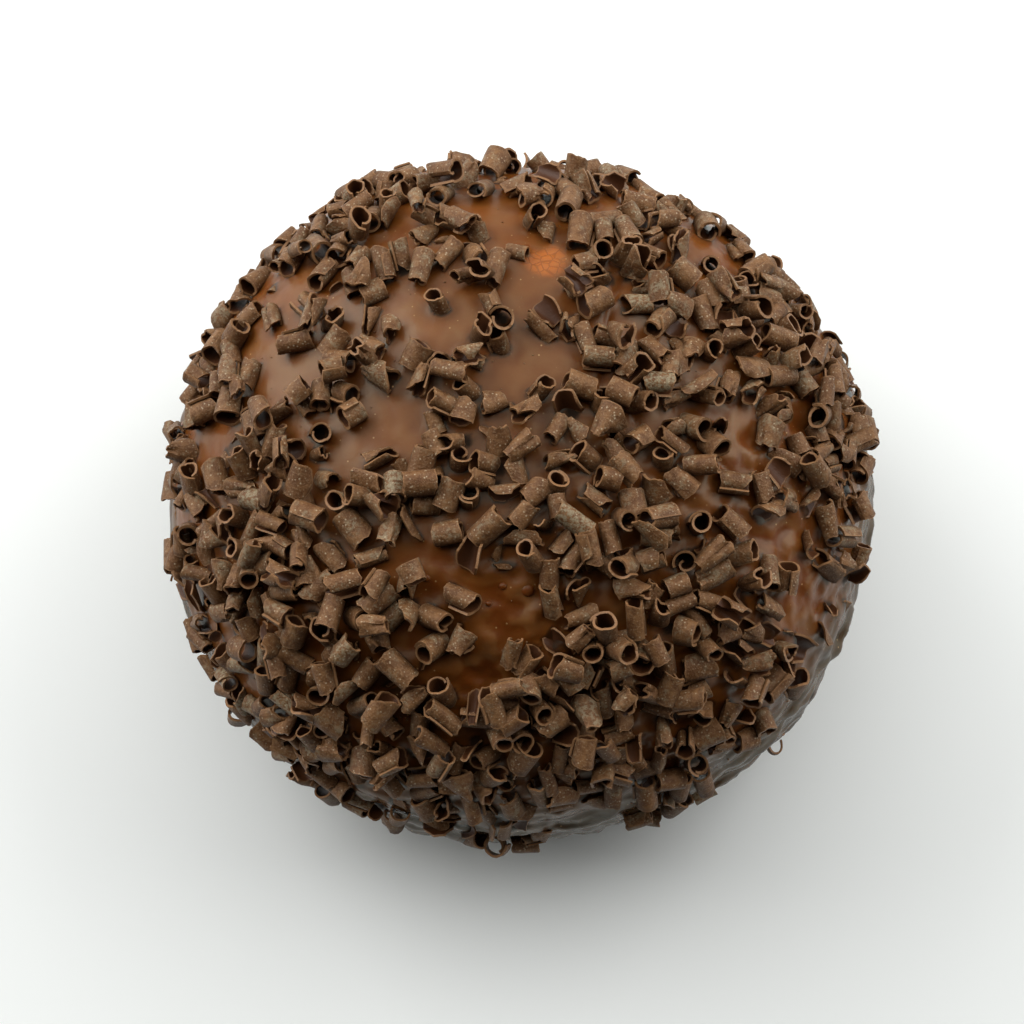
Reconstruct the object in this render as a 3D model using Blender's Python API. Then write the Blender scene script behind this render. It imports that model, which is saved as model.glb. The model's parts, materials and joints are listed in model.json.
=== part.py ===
"""A domed sweet bread, coated all over in milk chocolate and strewn with chocolate curls.

The coated cake is a sphere reshaped by a function of two numbers: the direction round the cake
and the way down its side. The curls are rolled sheets of chocolate. A seeded rule lets them
settle on the coating one by one, and the largest of them are fused to the cake as relief.
Lengths are in metres, +Z is up, and the origin is the middle of the flat base.
"""

import math

import bmesh
import bpy
import numpy as np
from mathutils import Matrix, Vector, noise

# The coated cake
COAT_RADIUS = 0.0866  # at the widest level, before the swells
CAKE_HEIGHT = 0.104
WIDEST_LEVEL = 0.040  # height above the base
BASE_RADIUS = 0.072  # of the flat base, inside its rounded edge
BASE_ROUNDING = 0.007
SIDE_TUCK = 0.10  # share of the radius that the side draws in towards the base
DOME_FULLNESS = 2.3  # 2 is an ellipse, more is a flatter top and a steeper side
SWELLS = (  # direction in degrees, spread in degrees, reach
    (16, 26, 0.0056),
    (62, 22, 0.0034),
    (115, 26, 0.0040),
    (158, 26, 0.0015),
    (278, 34, -0.0016),
    (328, 25, 0.0036),
)
RELIEF_DEPTH = 0.0012
RELIEF_GRAIN = 0.028
SEGMENTS = 52
RINGS = 24

# The way down the side, from 0 at the top of the dome to 1 at the middle of the base
DOME_ENDS = 0.66
SIDE_ENDS = 0.86
EDGE_ENDS = 0.90

# The curls, and how they settle
SEED = 7
CURL_COUNT = 790
CURL_RADIUS = 0.0025
CURL_RADIUS_SPREAD = 0.00036
CURL_LENGTH = 0.0070
CURL_LENGTH_SPREAD = 0.0010
KINDS = ("tube", "crinkle", "shell", "flake")
KIND_SHARES = (0.50, 0.28, 0.13, 0.09)
FLAKE_SCALE = 0.62
LOWEST_CURL = 0.038  # no curl sticks below this height
THINNING_HEIGHT = 0.032  # over which the curls thin out above that
BARE_SIDES = (  # direction in degrees, spread in degrees, rise of the lowest curl
    (335, 30, 0.016), (285, 22, -0.004), (165, 34, 0.006), (8, 18, 0.002), (222, 30, -0.006),
    (55, 34, 0.012),
)
TRIES = 9  # places tried for each curl, of which it takes the lowest
SINK = 0.0009  # how deep a curl sits in the coating
OVERLAP = 0.22  # share of two curls' radii by which they may interlock
HIGHEST_REST = 0.0068  # where the coat is flat
STEEP_REST = 0.0021  # where it is steep, so that nothing stays on top of other curls
SLOPES = (0.40, 0.85)  # height of the coat's normal where it counts as steep and as flat
CEILING = 0.1110  # no curl lies higher
STANDING_SHARE = 0.16
LYING_TILT = math.radians(15)
STANDING_TILT = (math.radians(38), math.radians(80))
PLACED_CURLS = (  # kind, direction, share of the way, heading, rise, radius, length
    ("tube", 98, 0.154, 118, 60, 0.0025, 0.0068), ("tube", 66, 0.082, 40, 48, 0.0023, 0.0064),
    ("tube", 230, 0.089, 95, 78, 0.0025, 0.0062), ("tube", 357, 0.214, 100, 72, 0.0024, 0.0062),
    ("tube", 328, 0.311, 250, 74, 0.0026, 0.0050), ("tube", 100, 0.332, 300, 52, 0.0028, 0.0066),
    ("tube", 116, 0.254, 130, 55, 0.0023, 0.0064), ("tube", 51, 0.311, 185, 14, 0.0025, 0.0078),
    ("tube", 353, 0.350, 172, 4, 0.0026, 0.0076), ("tube", 8, 0.271, 330, 48, 0.0031, 0.0074),
    ("tube", 318, 0.071, 60, 62, 0.0026, 0.0062), ("tube", 194, 0.068, 70, 70, 0.0024, 0.0060),
    ("tube", 272, 1.00, 2, 2, 0.0026, 0.0068), ("tube", 262, 0.99, 300, 10, 0.0024, 0.0066),
    ("crinkle", 293, 0.99, 350, 0, 0.0026, 0.0066), ("tube", 303, 0.97, 30, 12, 0.0024, 0.0058),
    ("crinkle", 311, 0.98, 45, 0, 0.0026, 0.0070), ("tube", 318, 0.98, 15, 25, 0.0023, 0.0064),
    ("tube", 243, 0.97, 330, 20, 0.0023, 0.0060), ("shell", 326, 0.90, 320, 10, 0.0026, 0.0064),
    ("strip", 236, 1.00, 0, 90, 0.0027, 0.0014), ("strip", 193, 0.94, 0, 86, 0.0021, 0.0024),
    ("strip", 317, 1.00, 40, 84, 0.0021, 0.0024), ("strip", 81, 0.82, 80, 80, 0.0027, 0.0012),
)
BARE_PATCHES = (  # direction in degrees, share of the way to the widest level, reach
    (118, 0.22, 0.012), (66, 0.12, 0.011), (155, 0.17, 0.009), (141, 0.54, 0.009),
    (155, 0.53, 0.008), (81, 0.34, 0.009), (93, 0.44, 0.006), (104, 0.50, 0.006),
    (2, 0.38, 0.009), (347, 0.30, 0.007), (345, 0.50, 0.008), (242, 0.20, 0.008),
    (272, 0.24, 0.010), (302, 0.27, 0.006), (262, 0.36, 0.008), (185, 0.25, 0.007),
    (51, 0.28, 0.007), (336, 0.62, 0.009), (326, 0.97, 0.016),
    (314, 0.88, 0.014), (285, 0.84, 0.012), (173, 0.64, 0.006), (50, 0.59, 0.010),
    (67, 0.99, 0.008), (158, 0.40, 0.008), (88, 0.22, 0.006), (168, 0.18, 0.008),
)
CROWDED_PATCHES = (
    (225, 0.60, 0.034), (258, 0.56, 0.028), (298, 0.46, 0.026), (195, 0.50, 0.020),
    (22, 0.62, 0.026), (58, 0.50, 0.016), (104, 0.64, 0.012), (268, 0.07, 0.014),
    (190, 0.12, 0.014), (315, 0.16, 0.016), (260, 0.16, 0.010), (105, 0.24, 0.007),
    (20, 0.10, 0.010), (100, 0.14, 0.006),
)
CROWDING = 1.9

# The curls that are fused to the cake
FUSED_COUNT = 165
FUSED_SPACING = 0.0080
FUSED_REST = 0.0026  # a fused curl lies no higher than this above the lowest it can
PRESSED = 0.0005  # how much deeper a fused curl sits
CURL_THICKNESS = 0.0008
FACES_ROUND = {"tube": (6, 5), "crinkle": (5, 4)}  # sides of the roll, sides kept
CRINKLE_TAPER = 0.72

CHOCOLATE = (0.150, 0.072, 0.034, 1.0)
CHOCOLATE_ROUGHNESS = 0.38


def clear_scene():
    for old in list(bpy.data.objects):
        bpy.data.objects.remove(old)


def swelling(direction, swells):
    """The sum of smooth swells round the cake: direction and spread in degrees, and reach."""
    total = 0.0
    for middle, spread, reach in swells:
        away = math.remainder(direction - math.radians(middle), math.tau)
        total += reach * math.exp(-((away / math.radians(spread)) ** 2))
    return total


def coat_radius(direction):
    """Radius of the widest level towards a direction."""
    return COAT_RADIUS + swelling(direction, SWELLS)


def smooth_point(way, direction):
    """A point of the cake without its relief."""
    widest = coat_radius(direction)
    if way < DOME_ENDS:
        angle = way / DOME_ENDS * math.pi / 2
        radius = widest * math.sin(angle) ** (2 / DOME_FULLNESS)
        height = WIDEST_LEVEL + (CAKE_HEIGHT - WIDEST_LEVEL) * math.cos(angle)
    elif way < SIDE_ENDS:
        down = (way - DOME_ENDS) / (SIDE_ENDS - DOME_ENDS)
        radius = widest * (1 - SIDE_TUCK * down**2)
        height = WIDEST_LEVEL + (BASE_ROUNDING - WIDEST_LEVEL) * down
    elif way < EDGE_ENDS:
        turn = (way - SIDE_ENDS) / (EDGE_ENDS - SIDE_ENDS) * math.pi / 2
        side = widest * (1 - SIDE_TUCK)
        radius = BASE_RADIUS + (side - BASE_RADIUS) * math.cos(turn)
        height = BASE_ROUNDING * (1 - math.sin(turn))
    else:
        radius = BASE_RADIUS * (1 - way) / (1 - EDGE_ENDS)
        height = 0.0
    return Vector((radius * math.cos(direction), radius * math.sin(direction), height))


def coat_normal(way, direction):
    """The outward normal of the cake without its relief."""
    step = 1e-3
    down = smooth_point(way + step, direction) - smooth_point(max(way - step, 1e-6), direction)
    round_ = smooth_point(way, direction + step) - smooth_point(way, direction - step)
    if round_.length < 1e-9:
        return Vector((0, 0, 1))
    return down.cross(round_).normalized()


def coat_point(way, direction):
    """A point of the cake's surface, with the gentle lumps of the coating."""
    point = smooth_point(way, direction)
    if way >= SIDE_ENDS:
        return point
    fade = min(1.0, (SIDE_ENDS - way) / 0.08)
    lump = RELIEF_DEPTH * noise.noise(point / RELIEF_GRAIN)
    return point + coat_normal(way, direction) * lump * fade


def make_material():
    material = bpy.data.materials.new("milk_chocolate")
    material.use_nodes = True
    shader = material.node_tree.nodes["Principled BSDF"]
    shader.inputs["Base Color"].default_value = CHOCOLATE
    shader.inputs["Roughness"].default_value = CHOCOLATE_ROUGHNESS
    return material


def make_cake(collection, material):
    """The coated cake: a sphere whose rings are spread over the dome, side, edge and base."""
    shape = bmesh.new()
    bmesh.ops.create_uvsphere(shape, u_segments=SEGMENTS, v_segments=RINGS, radius=1)
    for vert in shape.verts:
        way = math.acos(max(-1.0, min(1.0, vert.co.z))) / math.pi
        direction = math.atan2(vert.co.y, vert.co.x)
        vert.co = coat_point(way, direction)
    mesh = bpy.data.meshes.new("coated_cake")
    shape.to_mesh(mesh)
    shape.free()
    mesh.materials.append(material)
    cake = bpy.data.objects.new("coated_cake", mesh)
    collection.objects.link(cake)
    return cake


def way_table():
    """Ways down the side, and the share of the curl-bearing surface above each of them."""
    ways = np.linspace(0.002, SIDE_ENDS, 400)
    ring = [smooth_point(w, 0.0) for w in ways]
    radii = np.array([p.x for p in ring])
    steps = np.array([(b - a).length for a, b in zip(ring, ring[1:])])
    area = np.concatenate([[0.0], np.cumsum(steps * (radii[1:] + radii[:-1]) / 2)])
    return ways, area / area[-1]


def patch_middles(patches):
    middles = [smooth_point(share * DOME_ENDS, math.radians(d)) for d, share, _ in patches]
    return np.array(middles), np.array([reach for _, _, reach in patches])


def crowding(point, bare, crowded):
    """How thickly the curls fall on a point, between 0 and 1 + CROWDING."""
    middles, reaches = bare
    gaps = np.exp(-((np.linalg.norm(middles - point, axis=1) / reaches) ** 4))
    middles, reaches = crowded
    heaps = np.exp(-((np.linalg.norm(middles - point, axis=1) / reaches) ** 2))
    lowest = LOWEST_CURL + swelling(math.atan2(point[1], point[0]), BARE_SIDES)
    thinning = np.clip((point[2] - lowest) / THINNING_HEIGHT, 0, 1)
    return thinning * max(1 - 1.2 * gaps.max(), 0) * (1 + CROWDING * heaps.max())


def draw_landing(rng, table, bare, crowded):
    """A random way and direction, drawn evenly over the surface and then by the crowding."""
    while True:
        way = float(np.interp(rng.random(), table[1], table[0]))
        direction = rng.random() * math.tau
        point = np.array(smooth_point(way, direction))
        if rng.random() * (1 + CROWDING) < crowding(point, bare, crowded):
            return way, direction


def rest_height(point, normal, offsets, axis, radius, balls):
    """How far above the surface a curl comes to rest on the coating and on earlier curls."""
    rest = radius - SINK + max(0.0, *(-offset * axis.dot(normal) for offset in offsets))
    lowest = rest
    if len(balls):
        centres, radii = balls[:, :3], balls[:, 3]
        for offset in offsets:
            apart = np.array(point + axis * offset) - centres
            along = apart @ np.array(normal)
            across = (apart**2).sum(axis=1) - along**2
            reach = ((radius + radii) * (1 - OVERLAP)) ** 2
            near = across < reach
            if near.any():
                rest = max(rest, float((-along[near] + np.sqrt(reach[near] - across[near])).max()))
    return rest, rest - lowest


def place_balls(balls, curl):
    """A settled curl counts as three balls for those that fall after it."""
    reach = max(curl["length"] / 2 - curl["radius"], 0.0)
    along = np.array([curl["middle"] + curl["axis"] * o for o in (-reach, 0.0, reach)])
    return np.vstack([balls, np.column_stack([along, np.full(3, curl["radius"])])])


def try_rest(way, direction, axis, radius, length, balls):
    """A curl let down on the coating at one place."""
    point = smooth_point(way, direction)
    normal = coat_normal(way, direction)
    reach = max(length / 2 - radius, 0.0)
    rest, raised = rest_height(point, normal, (-reach, 0.0, reach), axis, radius, balls)
    return {
        "raised": raised,
        "rest": rest,
        "middle": point + normal * rest,
        "axis": axis,
        "normal": normal,
        "radius": radius,
        "length": length,
    }


def top_of(curl):
    """Height of a curl's highest point."""
    rise = abs(curl["axis"].z)
    return curl["middle"].z + curl["radius"] * math.sqrt(1 - rise**2) + curl["length"] / 2 * rise


def place_curls(rng):
    """The few curls that lie where the eye finds them."""
    curls = []
    balls = np.empty((0, 4))
    for kind, direction, share, heading, rise, radius, length in PLACED_CURLS:
        heading = math.radians(heading)
        rise = math.radians(rise)
        level = Vector((math.cos(heading), math.sin(heading), 0.0))
        axis = level * math.cos(rise) + Vector((0, 0, math.sin(rise)))
        curl = try_rest(share * DOME_ENDS, math.radians(direction), axis, radius, length, balls)
        curl.update(kind=kind, roll=rng.random() * math.tau, placed=True)
        curls.append(curl)
        balls = place_balls(balls, curl)
    return curls, balls


def settle_curls():
    """Lets the curls fall one by one. Each tries several places and takes the lowest."""
    rng = np.random.default_rng(SEED)
    table = way_table()
    bare = patch_middles(BARE_PATCHES)
    crowded = patch_middles(CROWDED_PATCHES)
    curls, balls = place_curls(rng)
    for _ in range(CURL_COUNT):
        kind = KINDS[rng.choice(len(KINDS), p=KIND_SHARES)]
        radius = CURL_RADIUS + CURL_RADIUS_SPREAD * float(np.clip(rng.normal(), -2, 2))
        length = CURL_LENGTH + CURL_LENGTH_SPREAD * float(np.clip(rng.normal(), -2, 2))
        if kind == "flake":
            radius *= FLAKE_SCALE
            length *= FLAKE_SCALE
        standing = rng.random() < STANDING_SHARE
        best = None
        for _ in range(TRIES):
            way, direction = draw_landing(rng, table, bare, crowded)
            spin = rng.random() * math.tau
            tilt = rng.uniform(*STANDING_TILT) if standing else rng.normal() * LYING_TILT
            normal = coat_normal(way, direction)
            level = normal.orthogonal().normalized()
            level.rotate(Matrix.Rotation(spin, 3, normal))
            axis = (level * math.cos(tilt) + normal * math.sin(tilt)).normalized()
            curl = try_rest(way, direction, axis, radius, length, balls)
            highest = np.interp(normal.z, SLOPES, (STEEP_REST, HIGHEST_REST))
            fits = curl["rest"] < highest and top_of(curl) < CEILING
            if fits and (best is None or curl["raised"] < best["raised"]):
                best = curl
        roll = rng.random() * math.tau
        if best:
            best.update(kind=kind, roll=roll, placed=False)
            curls.append(best)
            balls = place_balls(balls, best)
    return curls


def choose_fused(curls):
    """The placed curls and the largest others on the coating, clear of one another."""
    chosen = []
    for curl in sorted(curls, key=lambda c: (not c["placed"], -c["radius"] * c["length"])):
        if curl["raised"] > FUSED_REST or curl["kind"] not in FACES_ROUND:
            continue
        if all((curl["middle"] - c["middle"]).length > FUSED_SPACING for c in chosen):
            chosen.append(curl)
        if len(chosen) == FUSED_COUNT:
            break
    return chosen


def make_curl(curl, name, collection):
    """One curl: an open roll of flat sides, thickened inwards."""
    sides, kept = FACES_ROUND[curl["kind"]]
    taper = CRINKLE_TAPER if curl["kind"] == "crinkle" else 1.0
    shape = bmesh.new()
    bmesh.ops.create_cone(
        shape,
        cap_ends=False,
        segments=sides,
        radius1=curl["radius"],
        radius2=curl["radius"] * taper,
        depth=curl["length"],
    )
    walls = sorted(shape.faces, key=lambda f: math.atan2(f.calc_center_median().y,
                                                         f.calc_center_median().x))
    bmesh.ops.delete(shape, geom=walls[kept:], context="FACES")
    bmesh.ops.solidify(shape, geom=shape.faces[:], thickness=CURL_THICKNESS)
    bmesh.ops.recalc_face_normals(shape, faces=shape.faces[:])
    mesh = bpy.data.meshes.new(name)
    shape.to_mesh(mesh)
    shape.free()
    thing = bpy.data.objects.new(name, mesh)
    turned = curl["axis"].to_track_quat("Z", "X").to_matrix().to_4x4()
    rolled = Matrix.Rotation(curl["roll"], 4, "Z")
    seat = curl["middle"] - curl["normal"] * PRESSED
    thing.matrix_world = Matrix.Translation(seat) @ turned @ rolled
    collection.objects.link(thing)
    return thing


def fuse(cake, curls):
    """Joins the curls to the cake with one union, and keeps the one outer shell."""
    union = cake.modifiers.new("curls", "BOOLEAN")
    union.operation = "UNION"
    union.operand_type = "COLLECTION"
    union.collection = curls
    union.solver = "MANIFOLD"
    graph = bpy.context.evaluated_depsgraph_get()
    joined = bpy.data.meshes.new_from_object(cake.evaluated_get(graph))
    cake.modifiers.remove(union)
    cake.data = joined
    for thing in list(curls.objects):
        bpy.data.objects.remove(thing)
    bpy.data.collections.remove(curls)
    shape = bmesh.new()
    shape.from_mesh(joined)
    for scrap in shells(shape)[1:]:
        bmesh.ops.delete(shape, geom=scrap, context="VERTS")
    shape.to_mesh(joined)
    shape.free()


def shells(shape):
    """The separate surfaces of a mesh as lists of vertices, the largest first."""
    unseen = set(shape.verts)
    found = []
    while unseen:
        edge_of_search = [unseen.pop()]
        shell = list(edge_of_search)
        while edge_of_search:
            vert = edge_of_search.pop()
            for edge in vert.link_edges:
                other = edge.other_vert(vert)
                if other in unseen:
                    unseen.remove(other)
                    edge_of_search.append(other)
                    shell.append(other)
        found.append(shell)
    return sorted(found, key=len, reverse=True)


def main():
    clear_scene()
    part = bpy.data.collections.new("chocolate_coated_cake")
    bpy.context.scene.collection.children.link(part)
    loose = bpy.data.collections.new("loose_curls")
    bpy.context.scene.collection.children.link(loose)
    cake = make_cake(part, make_material())
    settled = settle_curls()
    fused = choose_fused(settled)
    for number, curl in enumerate(fused):
        make_curl(curl, f"curl_{number:03d}", loose)
    fuse(cake, loose)
    cake.data.set_sharp_from_angle(angle=math.radians(35))
    print(f"{len(settled)} curls settled, {len(fused)} fused")


main()
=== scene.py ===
import json
import math

import bmesh
import bpy
import numpy as np
from mathutils import Matrix, Vector
from mathutils.bvhtree import BVHTree

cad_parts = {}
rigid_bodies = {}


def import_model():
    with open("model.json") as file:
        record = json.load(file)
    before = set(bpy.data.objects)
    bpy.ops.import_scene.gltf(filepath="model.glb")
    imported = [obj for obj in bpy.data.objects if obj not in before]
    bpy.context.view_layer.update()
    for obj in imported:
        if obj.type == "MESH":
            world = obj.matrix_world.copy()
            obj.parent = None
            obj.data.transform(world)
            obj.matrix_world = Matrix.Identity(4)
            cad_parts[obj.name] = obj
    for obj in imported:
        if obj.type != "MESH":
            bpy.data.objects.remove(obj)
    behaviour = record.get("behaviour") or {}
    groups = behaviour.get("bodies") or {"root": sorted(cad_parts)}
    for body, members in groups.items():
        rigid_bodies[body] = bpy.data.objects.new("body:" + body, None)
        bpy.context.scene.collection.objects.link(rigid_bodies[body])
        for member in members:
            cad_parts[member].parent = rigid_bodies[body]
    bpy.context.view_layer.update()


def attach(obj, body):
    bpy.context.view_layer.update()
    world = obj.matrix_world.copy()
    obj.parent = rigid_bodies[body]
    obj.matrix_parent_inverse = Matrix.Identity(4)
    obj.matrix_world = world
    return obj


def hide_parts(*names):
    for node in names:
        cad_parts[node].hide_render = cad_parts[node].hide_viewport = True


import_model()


class Wire:
    # one output socket of a node; a sum on it adds Math nodes to its board
    def __init__(self, board, socket):
        self.board = board
        self.socket = socket

    def math(self, operation, *others):
        return self.board.sum(operation, self, *others)

    def least(self, other):
        return self.math("MINIMUM", other)

    def most(self, other):
        return self.math("MAXIMUM", other)

    def clamp(self):
        return self.most(0.0).least(1.0)

    def ramp(self, low, high):
        # 0 at low and 1 at high, with soft ends; low may be the larger of the two
        sockets = {"Value": self, "From Min": low, "From Max": high}
        return self.board.node("ShaderNodeMapRange", {"interpolation_type": "SMOOTHSTEP"}, sockets)


def giveOperator(name, operation):
    # the sign between two wires, or between a wire and a number on either side
    setattr(Wire, f"__{name}__", lambda wire, other: wire.math(operation, other))
    setattr(Wire, f"__r{name}__", lambda wire, other: wire.board.sum(operation, other, wire))


for name, operation in (("add", "ADD"), ("sub", "SUBTRACT"), ("mul", "MULTIPLY"), ("truediv", "DIVIDE"),
                        ("pow", "POWER")):
    giveOperator(name, operation)


class Board:
    # a node tree, and the one way in which nodes are put on it
    def __init__(self, tree):
        self.tree = tree

    def node(self, kind, settings=None, sockets=None, out=0):
        made = self.tree.nodes.new(kind)
        for name, value in (settings or {}).items():
            setattr(made, name, value)
        for key, value in (sockets or {}).items():
            self.plug(self.find(made.inputs, key), value)
        return Wire(self, self.find(made.outputs, out))

    def find(self, sockets, key):
        # by number, by identifier, or by the name of a socket in use
        if isinstance(key, int):
            return sockets[key]
        named = [socket for socket in sockets if socket.identifier == key]
        return (named or [socket for socket in sockets if socket.name == key and socket.enabled])[0]

    def plug(self, socket, value):
        if isinstance(value, Wire):
            self.tree.links.new(value.socket, socket)
        else:
            socket.default_value = value

    def sum(self, operation, *values):
        return self.node("ShaderNodeMath", {"operation": operation}, dict(enumerate(values)))

    def vector(self, operation, *values, out=0):
        return self.node("ShaderNodeVectorMath", {"operation": operation}, dict(enumerate(values)), out)

    def scaled(self, vector, amount):
        sockets = {0: vector, "Scale": amount}
        return self.node("ShaderNodeVectorMath", {"operation": "SCALE"}, sockets)

    def mix(self, amount, first, second):
        sockets = {"Factor_Float": amount, "A_Color": first, "B_Color": second}
        return self.node("ShaderNodeMix", {"data_type": "RGBA"}, sockets, out="Result_Color")

    def split(self, vector):
        x = self.node("ShaderNodeSeparateXYZ", {}, {0: vector})
        return [x] + [Wire(self, x.socket.node.outputs[number]) for number in (1, 2)]

    def join(self, x, y, z):
        return self.node("ShaderNodeCombineXYZ", {}, {0: x, 1: y, 2: z})

    def noise(self, where, grain, detail=1.0, roughness=0.5, out=0):
        # grain is the size of one lump in metres
        sockets = {"Vector": where, "Scale": 1 / grain, "Detail": detail, "Roughness": roughness}
        return self.node("ShaderNodeTexNoise", {}, sockets, out)

    def drawnOut(self, axes, grains, detail=1.0, roughness=0.5):
        # level noise, as long as the first grain and as high as the second
        x, y, z = axes
        where = self.join(x / grains[0], y / grains[0], z / grains[1])
        return self.noise(where, 1.0, detail, roughness)

    def cells(self, where, grain, settings=None):
        return self.node("ShaderNodeTexVoronoi", settings, {"Vector": where, "Scale": 1 / grain})

    def drawn(self, kind, low, high, seed):
        # a random number or vector between low and high
        first = 2 if kind == "FLOAT" else 0
        sockets = {first: low, first + 1: high, "Seed": seed}
        return self.node("FunctionNodeRandomValue", {"data_type": kind}, sockets, out=first // 2)

    def attribute(self, name):
        return self.node("ShaderNodeAttribute", {"attribute_name": name}, out="Fac")

    def stored(self, name, kind):
        return self.node("GeometryNodeInputNamedAttribute", {"data_type": kind}, {"Name": name})

    def store(self, geometry, name, value):
        # each point of the geometry keeps a value under that name
        settings = {"data_type": "FLOAT", "domain": "POINT"}
        sockets = {"Geometry": geometry, "Name": name, "Value": value}
        return self.node("GeometryNodeStoreNamedAttribute", settings, sockets)

    def shift(self, geometry, offset):
        return self.node("GeometryNodeSetPosition", {}, {"Geometry": geometry, "Offset": offset})

    def paint(self, geometry, material):
        return self.node("GeometryNodeSetMaterial", {}, {"Geometry": geometry, "Material": material})

    def realize(self, geometry):
        return self.node("GeometryNodeRealizeInstances", {}, {"Geometry": geometry})

    def shapeOf(self, thing):
        return self.node("GeometryNodeObjectInfo", {}, {"Object": thing}, out="Geometry")

    def gapTo(self, target, element):
        settings = {"target_element": element}
        return self.node("GeometryNodeProximity", settings, {"Target": target}, out="Distance")


def startGeometryTree(name, inputs):
    # inputs lists the name, the kind of socket and the value of each
    tree = bpy.data.node_groups.new(name, "GeometryNodeTree")
    tree.interface.new_socket("Geometry", in_out="INPUT", socket_type="NodeSocketGeometry")
    for label, kind, value in inputs:
        socket = tree.interface.new_socket(label, in_out="INPUT", socket_type="NodeSocket" + kind)
        if value is not None:
            socket.default_value = value
    tree.interface.new_socket("Geometry", in_out="OUTPUT", socket_type="NodeSocketGeometry")
    board = Board(tree)
    entry = tree.nodes.new("NodeGroupInput")
    return board, {socket.name: Wire(board, socket) for socket in entry.outputs}


def endGeometryTree(board, geometry):
    leave = board.tree.nodes.new("NodeGroupOutput")
    board.plug(leave.inputs[0], geometry)
    return board.tree


def useTree(thing, tree, values):
    # the inputs are set by identifier, before the object is first evaluated
    modifier = thing.modifiers.new(tree.name, "NODES")
    modifier.node_group = tree
    for item in tree.interface.items_tree:
        if item.in_out == "INPUT" and item.name in values:
            modifier[item.identifier] = values[item.name]


def freeze(thing):
    # what the modifiers make becomes the object's own plain mesh
    graph = bpy.context.evaluated_depsgraph_get()
    shown = thing.evaluated_get(graph)
    mesh = bpy.data.meshes.new_from_object(shown, preserve_all_data_layers=True, depsgraph=graph)
    thing.modifiers.clear()
    thing.data = mesh
    mesh.name = thing.name
    return thing


def newObject(name, mesh, collection=None):
    thing = bpy.data.objects.new(name, mesh)
    (collection or bpy.context.scene.collection).objects.link(thing)
    return thing


def keepValues(mesh, name, values, kind="FLOAT"):
    # each point of the mesh keeps a value, or a vector, under that name
    field = "vector" if kind == "FLOAT_VECTOR" else "value"
    mesh.attributes.new(name, kind, "POINT").data.foreach_set(field, values)


def startMaterial(name, fixed):
    # fixed holds what is the same all over the surface, on the shader's own sockets
    material = bpy.data.materials.new(name)
    material.use_nodes = True
    shader = material.node_tree.nodes["Principled BSDF"]
    for key, value in fixed.items():
        shader.inputs[key].default_value = value
    return material, Board(material.node_tree), shader.inputs


def rgb(red, green, blue):
    return (red, green, blue, 1.0)


# The coated cake, in metres

cake = {
    "coatRadius": 0.0866,  # at the widest level, before the swells
    "height": 0.104,
    "widestLevel": 0.040,
    "baseRadius": 0.072,
    "baseRounding": 0.007,
    "sideTuck": 0.10,
    "domeFullness": 2.3,
    "swells": (  # direction in degrees, spread in degrees, reach
        (16, 26, 0.0056),
        (62, 22, 0.0034),
        (115, 26, 0.0040),
        (158, 26, 0.0015),
        (278, 34, -0.0016),
        (328, 25, 0.0036),
    ),
    "domeEnds": 0.66,  # shares of the way from the top of the dome to the middle of the base
    "sideEnds": 0.86,
    "edgeEnds": 0.90,
    "cellsPerSide": 128,
    "lumpDepth": 0.0011,
    "lumpGrain": 0.026,
    "dimpleDepth": 0.0020,
    "dimpleGrain": 0.0068,
    "dimplesFrom": (-0.016, 0.030),  # the dimples grow over this stretch towards the front right
    "dimplesTowards": (0.75, -0.66),
    "lipDepth": 0.0010,
    "lipWidth": 0.0008,
    "lips": (  # where poured coating stopped: direction in degrees, share of the way
        ((59, 0.393), (58, 0.296), (44, 0.182), (30, 0.146), (15, 0.175), (4, 0.171), (355, 0.114),
         (343, 0.071)),
        ((1, 0.307), (356, 0.346), (352, 0.39)),
    ),
    "rippleDepth": 0.0032,
    "rippleGrains": (0.026, 0.0062),  # length and height of one
    "rippleTop": 0.066,  # the ripples of the side fade out at this height
    "creepDepth": 0.0003,  # how far the coating creeps up a curl
    "creepReach": 0.0009,
    "tintReach": 0.0019,  # how far the painted shade ring round a curl spreads
    "wellReach": 0.0023,  # how far the painted shade spreads inside an upright curl
    "wellUpright": 0.6,  # only in curls that stand up at least this much
    "wellRaised": 0.0008,  # and lie no higher than this above the coat
}


def swelling(direction, swells):
    total = 0.0
    for middle, spread, reach in swells:
        away = math.remainder(direction - math.radians(middle), math.tau)
        total += reach * math.exp(-((away / math.radians(spread)) ** 2))
    return total


def coatRadius(direction):
    return cake["coatRadius"] + swelling(direction, cake["swells"])


def smoothPoint(way, direction):
    # a point of the dome or side, without relief
    widest = coatRadius(direction)
    if way < cake["domeEnds"]:
        angle = way / cake["domeEnds"] * math.pi / 2
        radius = widest * math.sin(angle) ** (2 / cake["domeFullness"])
        height = cake["widestLevel"] + (cake["height"] - cake["widestLevel"]) * math.cos(angle)
    else:
        down = (way - cake["domeEnds"]) / (cake["sideEnds"] - cake["domeEnds"])
        radius = widest * (1 - cake["sideTuck"] * down**2)
        height = cake["widestLevel"] + (cake["baseRounding"] - cake["widestLevel"]) * down
    return Vector((radius * math.cos(direction), radius * math.sin(direction), height))


def coatNormal(way, direction):
    step = 1e-3
    down = smoothPoint(way + step, direction) - smoothPoint(max(way - step, 1e-6), direction)
    around = smoothPoint(way, direction + step) - smoothPoint(way, direction - step)
    if around.length < 1e-9:
        return Vector((0, 0, 1))
    return down.cross(around).normalized()


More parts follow.
